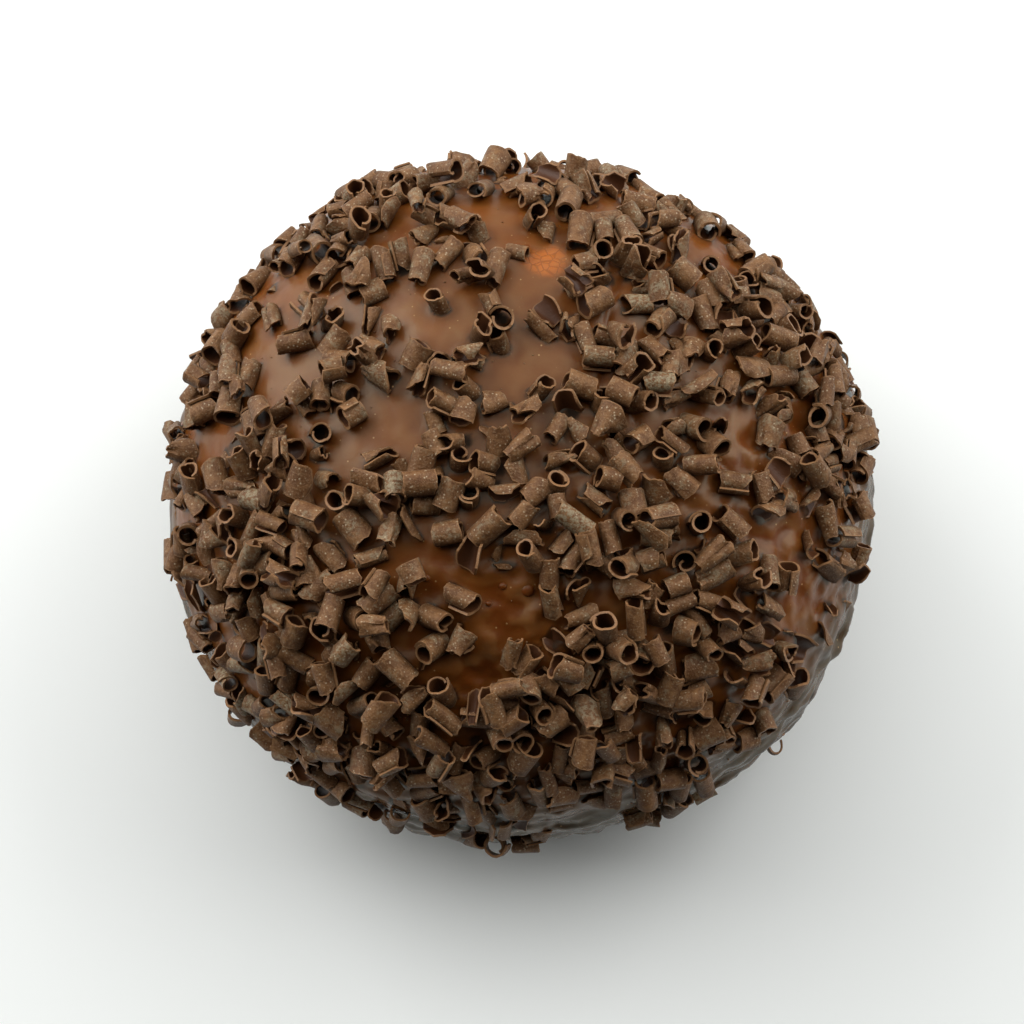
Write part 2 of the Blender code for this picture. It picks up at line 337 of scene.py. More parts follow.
def makeLips():
    # open outlines on the dome, smoothed, to which the coat measures its distance
    lips = bpy.data.curves.new("pouredLips", "CURVE")
    lips.dimensions = "3D"
    for outline in cake["lips"]:
        points = [smoothPoint(share * cake["domeEnds"], math.radians(d)) for d, share in outline]
        spline = lips.splines.new("BEZIER")
        spline.bezier_points.add(len(points) - 1)
        for knot, point in zip(spline.bezier_points, points):
            knot.co = point
            knot.handle_left_type = knot.handle_right_type = "AUTO"
    return newObject("pouredLips", lips)


def buildCakeTree():
    sizes = ("coatRadius", "height", "widestLevel", "baseRadius", "baseRounding", "sideTuck",
             "domeFullness", "lumpDepth", "dimpleDepth", "rippleDepth", "lipDepth", "lipWidth")
    inputs = [(name, "Float", cake[name]) for name in sizes]
    inputs += [("lips", "Object", None), ("material", "Material", None)]
    board, given = startGeometryTree("shapeCoatedCake", inputs)

    # a cube blown up to a sphere gives the way down the cake and the direction round it
    count = cake["cellsPerSide"] + 1
    counts = {"Vertices X": count, "Vertices Y": count, "Vertices Z": count}
    cube = board.node("GeometryNodeMeshCube", {}, {"Size": (2, 2, 2), **counts})
    place = board.node("GeometryNodeInputPosition")
    evened = [(axis * (math.pi / 4)).math("TANGENT") for axis in board.split(place)]
    x, y, z = board.split(board.vector("NORMALIZE", board.join(*evened)))
    way = z.math("ARCCOSINE") / math.pi
    direction = y.math("ARCTAN2", x)

    widest = given["coatRadius"]
    for middle, spread, reach in cake["swells"]:
        away = (direction - math.radians(middle)).math("WRAP", math.pi, -math.pi) / math.radians(spread)
        widest = widest + (away * away * -1).math("EXPONENT") * reach
    angle = (way / cake["domeEnds"]).least(1.0) * (math.pi / 2)
    down = ((way - cake["domeEnds"]) / (cake["sideEnds"] - cake["domeEnds"])).clamp()
    turn = ((way - cake["sideEnds"]) / (cake["edgeEnds"] - cake["sideEnds"])).clamp() * (math.pi / 2)
    inward = ((way - cake["edgeEnds"]) / (1 - cake["edgeEnds"])).clamp()
    side = widest * angle.math("SINE") ** (2 / given["domeFullness"])
    side = side * (1 - given["sideTuck"] * down * down)
    radius = given["baseRadius"] + (side - given["baseRadius"]) * turn.math("COSINE")
    radius = radius * (1 - inward)
    level = given["widestLevel"] + (given["height"] - given["widestLevel"]) * angle.math("COSINE")
    level = level + (given["baseRounding"] - given["widestLevel"]) * down
    height = level * (1 - turn.math("SINE"))
    spot = board.join(radius * direction.math("COSINE"), radius * direction.math("SINE"), height)
    shaped = board.node("GeometryNodeSetPosition", {}, {"Geometry": cube, "Position": spot})

    # lumps all over, dimples towards the front right, and the grooves beside the poured lips
    place = board.node("GeometryNodeInputPosition")
    px, py, pz = board.split(place)
    lumps = (board.noise(place, cake["lumpGrain"]) - 0.5) * given["lumpDepth"] * 2
    ahead = px * cake["dimplesTowards"][0] + py * cake["dimplesTowards"][1]
    patchy = ahead.ramp(*cake["dimplesFrom"]) * 0.8 + 0.2
    dimples = (board.noise(place, cake["dimpleGrain"], 1.5) - 0.5) * 2 * patchy
    lips = board.node("GeometryNodeCurveToMesh", {}, {"Curve": board.shapeOf(given["lips"])})
    gap = board.gapTo(lips, "EDGES")
    gap = (gap + (board.noise(place, 0.006) - 0.5) * given["lipWidth"]) / given["lipWidth"]
    groove = (gap * gap * -1).math("EXPONENT")

    # ripples round the side, where the coating set as it ran
    streaks = board.drawnOut((px, py, pz), cake["rippleGrains"])
    ripples = (streaks - 0.5) * given["rippleDepth"] * 2 * pz.ramp(cake["rippleTop"], cake["widestLevel"])
    relief = lumps + dimples * given["dimpleDepth"] - groove * given["lipDepth"] + ripples
    relief = relief * pz.ramp(0.0, cake["baseRounding"])
    # how hollow each point lies, for the painted shade in the dimples and grooves
    hollow = groove.most(0.5 - dimples * 2.2).clamp()
    shaped = board.store(shaped, "hollow", hollow)
    shaped = board.shift(shaped, board.scaled(board.node("GeometryNodeInputNormal"), relief))
    return endGeometryTree(board, board.paint(shaped, given["material"]))


def buildCreepTree():
    # the coating creeps up the curls, and keeps how near a curl each of its points is and how far inside an
    # upright one, for the painted shade there
    inputs = [("curls", "Collection", None), ("wells", "Object", None)]
    inputs += [(name, "Float", cake[name]) for name in ("creepDepth", "creepReach", "tintReach", "wellReach")]
    board, given = startGeometryTree("creepUpCurls", inputs)
    curls = board.realize(board.node("GeometryNodeCollectionInfo", {}, {"Collection": given["curls"]}))
    gap = board.gapTo(curls, "FACES")
    share = gap / given["creepReach"]
    creep = (share * share * -1).math("EXPONENT") * given["creepDepth"]
    offset = board.scaled(board.node("GeometryNodeInputNormal"), creep)
    nearness = (gap / given["tintReach"] * -1).math("EXPONENT")
    well = (board.gapTo(board.shapeOf(given["wells"]), "POINTS") / given["wellReach"]).ramp(1.0, 0.6)
    crept = board.store(given["Geometry"], "near", nearness)
    crept = board.store(crept, "well", well)
    return endGeometryTree(board, board.shift(crept, offset))


coating = {
    "plump": rgb(0.170, 0.066, 0.018),  # where it lies thick
    "thin": rgb(0.165, 0.052, 0.009),
    # painted shade in the coat's hollows and grooves; the drops take it as their own colour
    "hollow": rgb(0.120, 0.026, 0.002),
    "lowLevels": (0.075, 0.046),  # the side's painted shade and greyish painted reflection fade in between these heights
    "lowLean": 0.08,  # how much higher they reach towards the front right
    "low": rgb(0.060, 0.042, 0.022),  # painted shade and painted reflection: the side, darker and greyer, as where it faces away from the lights and mirrors the pale floor
    "lowPaintedDarkBand": rgb(0.027, 0.016, 0.008),
    "paintedReflectionBands": (0.020, 0.0048),  # length and width of its darker stripes of painted reflection
    "streaks": (0.022, 0.0060),  # length and width of the fine ridges it set in
    # painted shade: the coat right beside the curls, darker and more saturated where their shadow falls and
    # the sheen is blocked
    "byCurls": rgb(0.128, 0.037, 0.005),
    "deep": rgb(0.014, 0.004, 0.001),  # painted shade, nearly black, right beneath the curls and inside the upright ones
    "speck": rgb(0.44, 0.27, 0.12),
    "bareSpot": (81, 0.336, 0.0054),  # direction, share of the way, reach: the crumb shines through
    "crumb": rgb(0.42, 0.115, 0.016),
    "crack": rgb(0.085, 0.022, 0.004),
}


def makeCoatMaterial():
    fixed = {"IOR": 1.46, "Specular IOR Level": 0.34, "Specular Tint": rgb(0.92, 1.0, 0.84),
             "Subsurface Weight": 0.3, "Subsurface Radius": (1.0, 0.35, 0.12),
             "Subsurface Scale": 0.0014}
    material, board, shader = startMaterial("milkChocolateCoat", fixed)
    where = board.node("ShaderNodeTexCoord", out="Object")
    near, hollow, well = [board.attribute(name) for name in ("near", "hollow", "well")]
    x, y, z = board.split(where)
    ahead = x * cake["dimplesTowards"][0] + y * cake["dimplesTowards"][1]
    # the low side gets painted shade and greyish painted reflection
    low = (z - ahead * coating["lowLean"]).ramp(*coating["lowLevels"])
    thick = board.noise(where, 0.017, 2.0)
    colour = board.mix(thick.ramp(0.38, 0.62), coating["plump"], coating["thin"])
    # painted reflection: light and dark stripes along the side, as the pale floor mirrors in its ripples
    paintedReflectionBands = board.drawnOut((x, y, z), coating["paintedReflectionBands"], 2.0, 0.55)
    side = board.mix(paintedReflectionBands.ramp(0.36, 0.64), coating["lowPaintedDarkBand"], coating["low"])
    colour = board.mix(low * 0.85, colour, side)
    # painted shade in the hollows
    colour = board.mix(hollow.ramp(0.38, 0.78) * (1 - low) * 0.82, colour, coating["hollow"])
    # painted shade beside the curls
    colour = board.mix(near.ramp(0.10, 0.60) * (1 - low * 0.8), colour, coating["byCurls"])
    # painted shade, nearly black, at the curls' feet and inside the upright ones
    colour = board.mix((near.ramp(0.62, 0.96) * 0.85).most(well * 0.95), colour, coating["deep"])

    # one spot so thin that the crumb shines through, crossed by fine cracks
    direction, share, reach = coating["bareSpot"]
    middle = smoothPoint(share * cake["domeEnds"], math.radians(direction))
    away = board.vector("DISTANCE", where, tuple(middle), out="Value")
    spot = (away + (board.noise(where, 0.004) - 0.5) * reach * 0.8).ramp(reach * 1.15, reach * 0.45)
    veins = board.cells(where, 0.0022, {"feature": "DISTANCE_TO_EDGE"}).ramp(0.10, 0.02)
    crumb = board.mix(veins * 0.4, coating["crumb"], coating["crack"])
    colour = board.mix(spot * 0.75, colour, crumb)

    specks = board.cells(where, 0.0026).ramp(0.11, 0.05) * board.noise(where, 0.012).ramp(0.42, 0.58)
    colour = board.mix(specks * 0.75, colour, coating["speck"])
    board.plug(shader["Base Color"], colour)
    gloss = board.noise(where, 0.012, 2.0)
    board.plug(shader["Roughness"], 0.27 + gloss * 0.16 - low * 0.09 + well * 0.4)
    streaks = board.drawnOut((x, y, z), coating["streaks"]) * low
    height = board.noise(where, 0.004, 2.0) * 0.4 + board.noise(where, 0.0012, 1.0) * 0.06
    height = height + streaks * 3.0 - veins * spot * 0.2
    bump = board.node("ShaderNodeBump", {}, {"Strength": 0.6, "Distance": 0.0006, "Height": height})
    board.plug(shader["Normal"], bump)
    return material


def makeCake(material):
    thing = newObject("coatedCake", bpy.data.meshes.new("coatedCake"))
    lips = makeLips()
    useTree(thing, buildCakeTree(), {"lips": lips, "material": material})
    freeze(thing)
    bpy.data.objects.remove(lips)
    thing.data.shade_smooth()
    return thing


drops = {
    "seed": 5,
    "places": (  # direction in degrees, share of the way, radius
        (276, 0.216, 0.00145), (266, 0.208, 0.00110), (261, 0.242, 0.0007), (236, 0.236, 0.0008),
    ),
    "flatness": 0.65,
    "unevenness": 0.18,
    "roundness": 3,  # subdivisions of each
}


def makeDrops(material):
    # small round drops on the coat, tinted as its hollows are
    rng = np.random.default_rng(drops["seed"])
    shape = bmesh.new()
    for direction, share, reach in drops["places"]:
        way, direction = share * cake["domeEnds"], math.radians(direction)
        normal = coatNormal(way, direction)
        turn = normal.to_track_quat("Z", "Y").to_matrix().to_4x4()
        sizes = reach * (1 + drops["unevenness"] * rng.uniform(-1, 1, 3))
        scale = Matrix.Diagonal((sizes[0], sizes[1], sizes[2] * drops["flatness"], 1))
        place = Matrix.Translation(smoothPoint(way, direction)) @ turn @ scale
        bmesh.ops.create_icosphere(shape, subdivisions=drops["roundness"], radius=1.0, matrix=place)
    mesh = bpy.data.meshes.new("caramelDrops")
    shape.to_mesh(mesh)
    shape.free()
    keepValues(mesh, "hollow", np.ones(len(mesh.vertices)))
    mesh.materials.append(material)
    mesh.shade_smooth()
    return newObject("caramelDrops", mesh)


# The curls, in metres: how they fall and what they are

strewing = {
    "seed": 7,
    "count": 790,
    "radius": 0.0025,
    "radiusSpread": 0.00036,
    "length": 0.0070,
    "lengthSpread": 0.0010,
    "kinds": ("tube", "crinkle", "shell", "flake"),
    "shares": (0.50, 0.28, 0.13, 0.09),
    "flakeScale": 0.62,
    "lowest": 0.038,  # no curl sticks below this height
    "thinningHeight": 0.032,  # over which the curls thin out above that
    "bareSides": (  # direction in degrees, spread in degrees, rise of the lowest
        (335, 30, 0.016), (285, 22, -0.004), (165, 34, 0.006), (8, 18, 0.002), (222, 30, -0.006),
        (55, 34, 0.012),
    ),
    "tries": 9,
    "sink": 0.0009,
    "planting": 1.2,  # share of that by which an upright curl sinks deeper
    "bite": 0.0002,  # how far two curls that touch are pressed together
    "slack": 0.0014,  # how far a curl may settle above or below where its balls came to rest
    "footing": 0.0012,  # how much of a curl's underside meets the coating
    "nearBy": 0.010,  # how far off other curls are looked for
    "overlap": 0.22,
    "highestRest": 0.0068,  # where the coat is flat
    "steepRest": 0.0021,  # where it is steep, so that nothing stays on top of other curls
    "slopes": (0.40, 0.85),  # height of the coat's normal where it counts as steep and as flat
    "ceiling": 0.1110,  # no curl lies higher
    "standingShare": 0.16,
    "lyingTilt": math.radians(15),
    "standingTilt": (math.radians(38), math.radians(80)),
    "placed": (  # kind, direction, share of the way, heading, rise, radius, length
        ("tube", 98, 0.154, 118, 60, 0.0025, 0.0068), ("tube", 66, 0.082, 40, 48, 0.0023, 0.0064),
        ("tube", 230, 0.089, 95, 78, 0.0025, 0.0062), ("tube", 357, 0.214, 100, 72, 0.0024, 0.0062),
        ("tube", 328, 0.311, 250, 74, 0.0026, 0.0050), ("tube", 100, 0.332, 300, 52, 0.0028, 0.0066),
        ("tube", 116, 0.254, 130, 55, 0.0023, 0.0064), ("tube", 51, 0.311, 185, 14, 0.0025, 0.0078),
        ("tube", 353, 0.350, 172, 4, 0.0026, 0.0076), ("tube", 8, 0.271, 330, 48, 0.0031, 0.0074),
        ("tube", 318, 0.071, 60, 62, 0.0026, 0.0062), ("tube", 194, 0.068, 70, 70, 0.0024, 0.0060),
        ("tube", 272, 1.00, 2, 2, 0.0026, 0.0068), ("tube", 262, 0.99, 300, 10, 0.0024, 0.0066),
        ("crinkle", 293, 0.99, 350, 0, 0.0026, 0.0066), ("tube", 303, 0.97, 30, 12, 0.0024, 0.0058),
        ("crinkle", 311, 0.98, 45, 0, 0.0026, 0.0070), ("tube", 318, 0.98, 15, 25, 0.0023, 0.0064),
        ("tube", 243, 0.97, 330, 20, 0.0023, 0.0060), ("shell", 326, 0.90, 320, 10, 0.0026, 0.0064),
        ("strip", 236, 1.00, 0, 90, 0.0027, 0.0014), ("strip", 193, 0.94, 0, 86, 0.0021, 0.0024),
        ("strip", 317, 1.00, 40, 84, 0.0021, 0.0024), ("strip", 81, 0.82, 80, 80, 0.0027, 0.0012),
    ),
    "crowding": 1.9,
    "bare": (  # direction in degrees, share of the way to the widest level, reach
        (118, 0.22, 0.012), (66, 0.12, 0.011), (155, 0.17, 0.009), (141, 0.54, 0.009),
        (155, 0.53, 0.008), (81, 0.34, 0.009), (93, 0.44, 0.006), (104, 0.50, 0.006),
        (2, 0.38, 0.009), (347, 0.30, 0.007), (345, 0.50, 0.008), (242, 0.20, 0.008),
        (272, 0.24, 0.010), (302, 0.27, 0.006), (262, 0.36, 0.008), (185, 0.25, 0.007),
        (51, 0.28, 0.007), (336, 0.62, 0.009), (326, 0.97, 0.016),
        (314, 0.88, 0.014), (285, 0.84, 0.012), (173, 0.64, 0.006), (50, 0.59, 0.010),
        (67, 0.99, 0.008), (158, 0.40, 0.008), (88, 0.22, 0.006), (168, 0.18, 0.008),
    ),
    "crowded": (
        (225, 0.60, 0.034), (258, 0.56, 0.028), (298, 0.46, 0.026), (195, 0.50, 0.020),
        (22, 0.62, 0.026), (58, 0.50, 0.016), (104, 0.64, 0.012), (268, 0.07, 0.014),
        (190, 0.12, 0.014), (315, 0.16, 0.016), (260, 0.16, 0.010), (105, 0.24, 0.007),
        (20, 0.10, 0.010), (100, 0.14, 0.006),
    ),
}


def wayTable():
    # ways down the side, and the share of the surface above each
    ways = np.linspace(0.002, cake["sideEnds"], 400)
    ring = [smoothPoint(way, 0.0) for way in ways]
    radii = np.array([point.x for point in ring])
    steps = np.array([(b - a).length for a, b in zip(ring, ring[1:])])
    area = np.concatenate([[0.0], np.cumsum(steps * (radii[1:] + radii[:-1]) / 2)])
    return ways, area / area[-1]


def patchMiddles(patches):
    middles = [smoothPoint(share * cake["domeEnds"], math.radians(d)) for d, share, _ in patches]
    return np.array(middles), np.array([reach for _, _, reach in patches])


def crowdingAt(point, bare, crowded):
    middles, reaches = bare
    gaps = np.exp(-((np.linalg.norm(middles - point, axis=1) / reaches) ** 4))
    middles, reaches = crowded
    heaps = np.exp(-((np.linalg.norm(middles - point, axis=1) / reaches) ** 2))
    direction = math.atan2(point[1], point[0])
    lowest = strewing["lowest"] + swelling(direction, strewing["bareSides"])
    thinning = np.clip((point[2] - lowest) / strewing["thinningHeight"], 0, 1)
    return thinning * max(1 - 1.2 * gaps.max(), 0) * (1 + strewing["crowding"] * heaps.max())


def drawLanding(rng, table, bare, crowded):
    while True:
        way = float(np.interp(rng.random(), table[1], table[0]))
        direction = rng.random() * math.tau
        point = np.array(smoothPoint(way, direction))
        if rng.random() * (1 + strewing["crowding"]) < crowdingAt(point, bare, crowded):
            return way, direction


def restHeight(point, normal, offsets, axis, radius, balls):
    # how high a curl comes to rest on the coating and on the curls before it
    lowest = radius - strewing["sink"] + max(0.0, *(-offset * axis.dot(normal) for offset in offsets))
    rest = lowest
    if len(balls):
        centres, radii = balls[:, :3], balls[:, 3]
        for offset in offsets:
            apart = np.array(point + axis * offset) - centres
            along = apart @ np.array(normal)
            across = (apart**2).sum(axis=1) - along**2
            reach = ((radius + radii) * (1 - strewing["overlap"])) ** 2
            near = across < reach
            if near.any():
                rest = max(rest, float((-along[near] + np.sqrt(reach[near] - across[near])).max()))
    return rest, rest - lowest


def placeBalls(balls, curl):
    # a settled curl counts as three balls for those that fall after it
    reach = max(curl["length"] / 2 - curl["radius"], 0.0)
    along = np.array([curl["middle"] + curl["axis"] * offset for offset in (-reach, 0.0, reach)])
    return np.vstack([balls, np.column_stack([along, np.full(3, curl["radius"])])])


def tryRest(way, direction, axis, radius, length, balls):
    point = smoothPoint(way, direction)
    normal = coatNormal(way, direction)
    reach = max(length / 2 - radius, 0.0)
    rest, raised = restHeight(point, normal, (-reach, 0.0, reach), axis, radius, balls)
    return {"raised": raised, "rest": rest, "foot": point, "axis": axis, "normal": normal,
            "middle": point + normal * rest, "radius": radius, "length": length}


def topOf(curl):
    rise = abs(curl["axis"].z)
    return curl["middle"].z + curl["radius"] * math.sqrt(1 - rise**2) + curl["length"] / 2 * rise


def placeCurls(rng):
    # the few curls that lie where the eye finds them
    curls = []
    balls = np.empty((0, 4))
    for kind, direction, share, heading, rise, radius, length in strewing["placed"]:
        heading, rise = math.radians(heading), math.radians(rise)
        level = math.cos(rise)
        axis = Vector((math.cos(heading) * level, math.sin(heading) * level, math.sin(rise)))
        curl = tryRest(share * cake["domeEnds"], math.radians(direction), axis, radius, length, balls)
        curl.update(kind=kind, roll=rng.random() * math.tau)
        curls.append(curl)
        balls = placeBalls(balls, curl)
    return curls, balls


def settleCurls():
    # each curl tries several places and keeps the one where it lies lowest
    rng = np.random.default_rng(strewing["seed"])
    table = wayTable()
    bare = patchMiddles(strewing["bare"])
    crowded = patchMiddles(strewing["crowded"])
    curls, balls = placeCurls(rng)
    for _ in range(strewing["count"]):
        kind = strewing["kinds"][rng.choice(len(strewing["kinds"]), p=strewing["shares"])]
        radius = strewing["radius"] + strewing["radiusSpread"] * float(np.clip(rng.normal(), -2, 2))
        length = strewing["length"] + strewing["lengthSpread"] * float(np.clip(rng.normal(), -2, 2))
        if kind == "flake":
            radius *= strewing["flakeScale"]
            length *= strewing["flakeScale"]
        standing = rng.random() < strewing["standingShare"]
        best = None
        for _ in range(strewing["tries"]):
            way, direction = drawLanding(rng, table, bare, crowded)
            spin = rng.random() * math.tau
            if standing:
                tilt = rng.uniform(*strewing["standingTilt"])
            else:
                tilt = rng.normal() * strewing["lyingTilt"]
            normal = coatNormal(way, direction)
            level = normal.orthogonal().normalized()
            level.rotate(Matrix.Rotation(spin, 3, normal))
            axis = (level * math.cos(tilt) + normal * math.sin(tilt)).normalized()
            curl = tryRest(way, direction, axis, radius, length, balls)
            rests = (strewing["steepRest"], strewing["highestRest"])
            highest = np.interp(normal.z, strewing["slopes"], rests)
            fits = curl["rest"] < highest and topOf(curl) < strewing["ceiling"]
            if fits and (best is None or curl["raised"] < best["raised"]):
                best = curl
        roll = rng.random() * math.tau
        if best:
            best.update(kind=kind, roll=roll)
            curls.append(best)
            balls = placeBalls(balls, best)
    return curls


plainForm = {
    "forms": 18, "columns": 20, "rows": 3, "wrap": (340, 455), "ovality": (0.0, 0.16),
    "taper": (-0.08, 0.08), "slant": (0.0, 0.24), "corner": (0.0, 0.6), "wave": (0.0, 0.05),
    "dents": (0, 1), "dentDepth": (0.1, 0.25), "lobes": (0.0, 0.04), "pinch": (0.0, 0.10),
    "flare": (0.0, 0.14), "hookShare": 0.15,
}
curlForms = {
    "thickness": 0.00054,
    "tube": plainForm,
    "crinkle": {
        **plainForm, "rows": 6, "wrap": (290, 400), "ovality": (0.0, 0.25), "taper": (-0.25, 0.25),
        "slant": (0.0, 0.4), "corner": (0.2, 0.9), "wave": (0.0, 0.12), "dents": (1, 3),
        "dentDepth": (0.5, 1.0), "lobes": (0.10, 0.30), "pinch": (0.0, 0.45), "flare": (0.0, 0.20),
        "hookShare": 0.1,
    },
    "shell": {
        **plainForm, "forms": 12, "columns": 12, "rows": 4, "wrap": (130, 235), "ovality": (-0.1, 0.3),
        "taper": (-0.2, 0.2), "slant": (0.0, 0.4), "corner": (0.2, 0.8), "wave": (0.0, 0.10),
        "dentDepth": (0.1, 0.4), "lobes": (0.0, 0.12), "pinch": (0.0, 0.2), "flare": (0.0, 0.2),
        "hookShare": 0.0,
    },
    "flake": {
        **plainForm, "forms": 6, "columns": 7, "wrap": (80, 170), "ovality": (-0.2, 0.3),
        "taper": (-0.3, 0.3), "slant": (0.1, 0.7), "corner": (0.3, 0.9), "wave": (0.0, 0.15),
        "dentDepth": (0.1, 0.4), "lobes": (0.0, 0.15), "pinch": (0.0, 0.3), "flare": (0.0, 0.3),
        "hookShare": 0.0,
    },
    "strip": {
        **plainForm, "forms": 4, "rows": 2, "wrap": (240, 420), "ovality": (0.0, 0.1),
        "taper": (-0.05, 0.05), "slant": (0.0, 0.1), "dents": (0, 0), "dentDepth": (0.0, 0.1),
        "lobes": (0.0, 0.02), "flare": (0.0, 0.3), "hookShare": 0.0,
    },
    "growth": 0.25,  # share of the radius by which each turn lies outside the last
    "cornerStarts": 0.76,  # share of the sheet at which its last edge begins to narrow
    "ragged": 0.026,  # how uneven its two ends are, as a share of half the length
    "sharpAngle": math.radians(30),
    "warpDepth": 0.00024,
    "warpGrain": 0.0036,
    "dustyShare": 0.05,  # of the tubes that are white with dust
}


def rollSheet(style, rng):
    # the middle surface of one rolled sheet: columns run round the roll, rows along it
    radius, length = strewing["radius"], strewing["length"]
    s = np.linspace(0, 1, style["columns"] + 1)[:, None]
    v = np.linspace(-1, 1, style["rows"] + 1)[None, :]
    wrap = math.radians(rng.uniform(*style["wrap"]))
    theta = s * wrap + 0 * v

    r = radius * (1 - curlForms["growth"] * (1 - s) * wrap / math.tau) + 0 * v
    if rng.random() < style["hookShare"]:
        r = r - radius * 0.55 * np.clip(1 - s / 0.2, 0, 1) ** 2
    r = r + radius * rng.uniform(*style["flare"]) * np.clip((s - 0.82) / 0.18, 0, 1) ** 2
    r = r * (1 + rng.uniform(*style["taper"]) * v)

    # lobes are sharp ridges along the roll, and dents are diamond folds, mostly at its ends
    count, shift, lean = rng.integers(3, 6), rng.random(), rng.uniform(-0.12, 0.12)
    ridge = 1 - 4 * np.abs((theta / math.tau * count + shift + lean * v) % 1 - 0.5)
    uneven = 0.5 + 0.5 * np.sin(theta * rng.uniform(0.5, 1.3) + rng.random() * math.tau)
    r = r * (1 + rng.uniform(*style["lobes"]) * ridge * uneven * (0.35 + 0.65 * np.abs(v)))
    for _ in range(rng.integers(style["dents"][0], style["dents"][1] + 1)):
        middle = rng.uniform(0.15, 0.95) * wrap
        level = rng.choice((-1, 1)) * rng.uniform(0.6, 1.0)
        across, along = rng.uniform(0.6, 1.1), rng.uniform(0.8, 1.5)
        fold = np.clip(1 - np.abs(theta - middle) / across - np.abs(v - level) / along, 0, 1)
        r = r * (1 - rng.uniform(*style["dentDepth"]) * fold)
    r = np.maximum(r, radius * 0.08)

    squash = rng.uniform(*style["ovality"])
    x = r * np.cos(theta) * (1 + squash * 0.6)
    y = r * np.sin(theta) * (1 - squash)
    for end in (-1, 1):
        pinch = rng.uniform(*style["pinch"])
        away = rng.random() * math.pi
        share = np.clip((1 + end * v) / 2, 0, 1) ** 1.6
        cosine, sine = math.cos(away), math.sin(away)
        along, across = x * cosine + y * sine, -x * sine + y * cosine
        along, across = along * (1 - pinch * share), across * (1 + 0.35 * pinch * share)
        x, y = along * cosine - across * sine, along * sine + across * cosine

    z = v + 0 * s
    for edge in (s, 1 - s):
        tip = rng.uniform(-0.6, 0.6)
        narrowing = (edge - curlForms["cornerStarts"]) / (1 - curlForms["cornerStarts"])
        z = z + (tip - z) * np.clip(narrowing, 0, 1) * rng.uniform(*style["corner"])
    for end in (-1, 1):
        near = np.clip(end * v, 0, 1) ** 2
        slant = rng.uniform(*style["slant"]) * radius / length
        wave = rng.uniform(*style["wave"])
        z = z + slant * np.cos(theta - rng.random() * math.tau) * near
        z = z + wave * np.sin(theta * rng.integers(2, 5) + rng.random() * math.tau) * near
        z = z + rng.normal(0, curlForms["ragged"], (style["columns"] + 1, 1)) * near
    return np.stack([x, y, z * length / 2], axis=-1)


def thicken(middle, thickness):
    # the outer and inner faces of a sheet, and its rim
    columns, rows = middle.shape[0], middle.shape[1]
    round_ = np.gradient(middle, axis=0)
    along = np.gradient(middle, axis=1)
    normal = np.cross(round_, along)
    normal /= np.maximum(np.linalg.norm(normal, axis=-1, keepdims=True), 1e-9)
    outer = middle + normal * thickness / 2
    inner = middle - normal * thickness / 2
    corners = np.concatenate([outer.reshape(-1, 3), inner.reshape(-1, 3)])
    half = columns * rows
    faces = []
    for i in range(columns - 1):
        for j in range(rows - 1):
            a, b = i * rows + j, (i + 1) * rows + j
            faces.append((a, b, b + 1, a + 1))
            faces.append((half + a, half + a + 1, half + b + 1, half + b))
    loop = [i * rows for i in range(columns)]
    loop += [(columns - 1) * rows + j for j in range(1, rows)]
    loop += [i * rows + rows - 1 for i in range(columns - 2, -1, -1)]
    loop += list(range(rows - 2, 0, -1))
    for a, b in zip(loop, loop[1:] + loop[:1]):
        faces.append((a, half + a, half + b, b))
    return corners, faces


def marginOf(middle):
    # how far each point of the sheet is from its nearest edge
    around = np.linalg.norm(np.diff(middle, axis=0), axis=-1)
    around = np.concatenate([np.zeros((1, middle.shape[1])), np.cumsum(around, axis=0)])
    along = np.linalg.norm(np.diff(middle, axis=1), axis=-1)
    along = np.concatenate([np.zeros((middle.shape[0], 1)), np.cumsum(along, axis=1)], axis=1)
    sides = (around, around[-1:] - around, along, along[:, -1:] - along)
    return np.minimum.reduce(sides)


def makeForm(name, middle, collection):
    corners, faces = thicken(middle, curlForms["thickness"])
    corners = corners - (corners.max(axis=0) + corners.min(axis=0)) / 2
    mesh = bpy.data.meshes.new(name)
    mesh.from_pydata(corners.tolist(), [], faces)
    margin = marginOf(middle).ravel()
    inner = np.repeat([0.0, 1.0], len(corners) // 2)
    keepValues(mesh, "inner", inner)
    keepValues(mesh, "margin", np.tile(margin, 2))
    mesh.shade_smooth()
    mesh.set_sharp_from_angle(angle=curlForms["sharpAngle"])
    newObject(name, mesh, collection)
    return corners, faces


def makeForms(rng):
    # the forms of each kind, in a collection of their own
    forms = {}
    for kind in (*strewing["kinds"], "strip"):
        style = curlForms[kind]
        shapes = bpy.data.collections.new(kind + "Forms")
        bpy.context.scene.collection.children.link(shapes)
        names = [f"{kind}Form{number:02d}" for number in range(style["forms"])]
        forms[kind] = shapes, [makeForm(name, rollSheet(style, rng), shapes) for name in names]
    return forms


